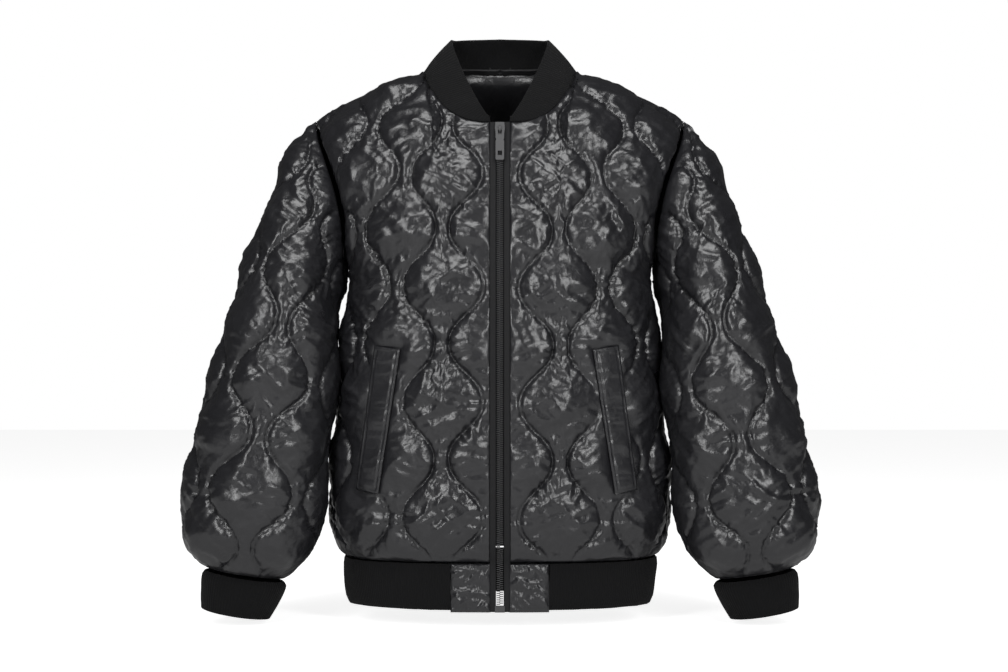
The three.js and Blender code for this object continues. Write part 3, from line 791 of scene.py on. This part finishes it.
def makeLining():
    share, height = np.meshgrid(np.linspace(0, lining["reach"], 45), np.linspace(lining["from"], 1.0, 60),
                                indexing="ij")
    half = torsoPoint(False, share, height) * np.array([lining["narrow"], 1, 1])
    half = half + np.array([0, -lining["in"], lining["up"]])
    grid = np.concatenate([half[::-1], mirror(half)[1:]])
    x = grid[..., 0]
    z = grid[..., 2]
    pleat = -lining["pleat"] * np.exp(-(x / 2.2) ** 2)
    pleat = pleat + lining["pleatSide"] * np.exp(-((np.abs(x) - 6) / 4) ** 2)
    lift = pleat + lining["crease"] * ridge(x / 28 + z / 70, z / 60, 4)
    lift = lift + lining["fineCrease"] * ridge(x / 13, z / 40, 6)
    normal = gridNormals(grid, False, grid * np.array([0, 0, 1]))
    outer = grid + normal * -0.2
    inner = grid - normal * (lining["wall"] + lift)[..., None]
    uv = np.stack([lengths(grid, 0), lengths(grid, 1)], -1)
    piece = makeWall("neckLining", outer, inner, False, materials["lining"], uv)
    finishSheet(piece, "back_lining")


loop = {"reach": 13.2, "wide": 2.6, "flatten": 0.55, "y": 69.6, "z": 11, "wall": 1.1}


def makeLoop():
    turn, across = np.meshgrid(np.linspace(np.pi, 2 * np.pi, 48), np.linspace(-0.5, 0.5, 7), indexing="ij")
    reach = loop["reach"] + loop["wide"] * across
    z = loop["z"] + loop["flatten"] * reach * np.sin(turn)
    y = loop["y"] - 0.3 * np.cos(np.pi * across) + 0.2 * ridge(turn * 3, across, 7)
    grid = np.stack([reach * np.cos(turn), y, z], -1)
    uv = np.stack([lengths(grid, 0), lengths(grid, 1)], -1)
    piece = makeWall("neckLoop", grid, grid + np.array([0, loop["wall"], 0]), False, materials["tape"], uv)
    finishPiece(piece, "hanger_loop")


# zip: two tapes and a row of teeth; on the hem band they lie 1 mm further back
tape = {"in": 4.6, "out": 12.2, "low": -663.5, "top": -72, "lift": 0.4, "wall": 1.3, "ripple": 0.25}
tooth = {"pitch": 2.6, "low": -654, "top": -76, "half": 2.2, "offset": 1.8, "deep": 1.1, "tall": 0.5,
         "taper": 0.8}


def hemStep(z):
    return np.interp(z, [-612, -598], [1, 0])


def makeTapes():
    for name, side, node in (("tapeRight", 1, "zip_tape_right"), ("tapeLeft", -1, "zip_tape_left")):
        x, z = np.meshgrid(np.linspace(tape["in"], tape["out"], 5),
                           np.linspace(tape["low"], tape["top"], 200), indexing="ij")
        base = frontAt(np.full_like(z, zipEdge), np.maximum(z, hemSeamZ))
        y = base[..., 1] + hemStep(z) + tape["lift"] + tape["ripple"] * ridge(z / 9, x / 9, 2)
        grid = np.stack([x, y, z], -1)
        flip = np.array([side, 1, 1])
        behind = (grid + np.array([0, tape["wall"], 0])) * flip
        piece = makeWall(name, grid * flip, behind, False, materials["tape"], np.stack([x, z], -1))
        finishPiece(piece, node)


def makeTeeth():
    # one tooth is a small tapered block; each side's teeth interlock with the other's
    front = tooth["taper"]
    block = np.array([[-1, -1, -1], [1, -1, -1], [1, 1, -1], [-1, 1, -1],
                      [-front, -front, 1], [front, -front, 1], [front, front, 1], [-front, front, 1]])
    faces = np.array([[0, 3, 2, 1], [4, 5, 6, 7], [0, 1, 5, 4], [1, 2, 6, 5], [2, 3, 7, 6], [3, 0, 4, 7]])
    points = []
    quads = []
    for row, z in enumerate(np.arange(tooth["low"], tooth["top"], tooth["pitch"] / 2)):
        side = 1 if row % 2 else -1
        y = float(frontAt(np.array(zipEdge), np.array(max(z, hemSeamZ)))[1]) + float(hemStep(z))
        points.append(np.stack([block[:, 0] * tooth["half"] + side * tooth["offset"],
                                -block[:, 2] * tooth["deep"] + y + 0.1,
                                block[:, 1] * tooth["tall"] + z], -1))
        quads.append(faces + len(block) * row)
    teeth = makeMesh("zipTeeth", np.concatenate(points), np.concatenate(quads), None, materials["metal"])
    for polygon in teeth.data.polygons:
        polygon.use_smooth = False
    finishPiece(teeth, "zip_teeth")


makeFronts()
makeBack()
print("body made")
makeSleeves()
print("sleeves made")
makeRibs()
print("ribs made")
makeTabs()
makeWelts()
makeLining()
makeLoop()
makeTapes()
makeTeeth()
print("small pieces made")

for node in ("zip_box", "zip_slider", "zip_pull"):
    for slot in bpy.data.objects[node].material_slots:
        slot.material = materials["metal"]

# floor, world and lights
studio = {"floorSize": 12, "floorBelow": 0.004, "floorGlow": 0.86, "fill": 0.06, "backdrop": 1.0}
floorLevel = cadBox[0][2] - studio["floorBelow"]
bpy.ops.mesh.primitive_plane_add(size=studio["floorSize"], location=(0, 0, floorLevel))
floor = bpy.context.object
floor.name = "floor"
pale = bpy.data.materials.new("paleFloor")
pale.use_nodes = True
paleNodes = pale.node_tree.nodes
paleLinks = pale.node_tree.links
paleShader = paleNodes["Principled BSDF"]
paleShader.inputs["Base Color"].default_value = (0.9, 0.9, 0.9, 1)
paleShader.inputs["Roughness"].default_value = 0.9
paleShader.inputs["Emission Color"].default_value = (1, 1, 1, 1)
seen = paleNodes.new("ShaderNodeLightPath")
glow = paleNodes.new("ShaderNodeMath")
glow.operation = "MULTIPLY"
glow.inputs[1].default_value = studio["floorGlow"]
paleLinks.new(seen.outputs["Is Camera Ray"], glow.inputs[0])
paleLinks.new(glow.outputs[0], paleShader.inputs["Emission Strength"])
floor.data.materials.append(pale)

world = bpy.data.worlds.new("studio")
bpy.context.scene.world = world
world.use_nodes = True
worldNodes = world.node_tree.nodes
worldLinks = world.node_tree.links
background = worldNodes["Background"]
background.inputs["Color"].default_value = (1, 1, 1, 1)
background.inputs["Strength"].default_value = studio["fill"]
backdrop = worldNodes.new("ShaderNodeBackground")
backdrop.inputs["Color"].default_value = (1, 1, 1, 1)
backdrop.inputs["Strength"].default_value = studio["backdrop"]
rays = worldNodes.new("ShaderNodeLightPath")
choose = worldNodes.new("ShaderNodeMixShader")
worldLinks.new(rays.outputs["Is Camera Ray"], choose.inputs[0])
worldLinks.new(background.outputs[0], choose.inputs[1])
worldLinks.new(backdrop.outputs[0], choose.inputs[2])
worldLinks.new(choose.outputs[0], worldNodes["World Output"].inputs["Surface"])


def softbox(name, place, target, size, power):
    light = bpy.data.lights.new(name, "AREA")
    light.shape = "RECTANGLE"
    light.size, light.size_y = size
    light.energy = power
    lamp = bpy.data.objects.new(name, light)
    lamp.location = place
    direction = np.array(target) - np.array(place)
    fromDown = math.atan2(math.hypot(direction[0], direction[1]), -direction[2])
    lamp.rotation_euler = (fromDown, 0, math.atan2(-direction[0], direction[1]))
    bpy.context.scene.collection.objects.link(lamp)


softbox("leftBox", (-1.2, -2.3, 0.5), (0, 0, -0.35), (0.5, 1.3), 27)
softbox("rightBox", (1.2, -2.3, 0.5), (0, 0, -0.35), (0.5, 1.3), 27)
softbox("topBox", (0, -1.0, 1.9), (0, 0, -0.2), (1.6, 0.8), 34)
softbox("lowBox", (0, -2.6, -0.9), (0, 0, -0.4), (1.2, 0.35), 8)
bpy.context.scene.view_settings.view_transform = "Standard"
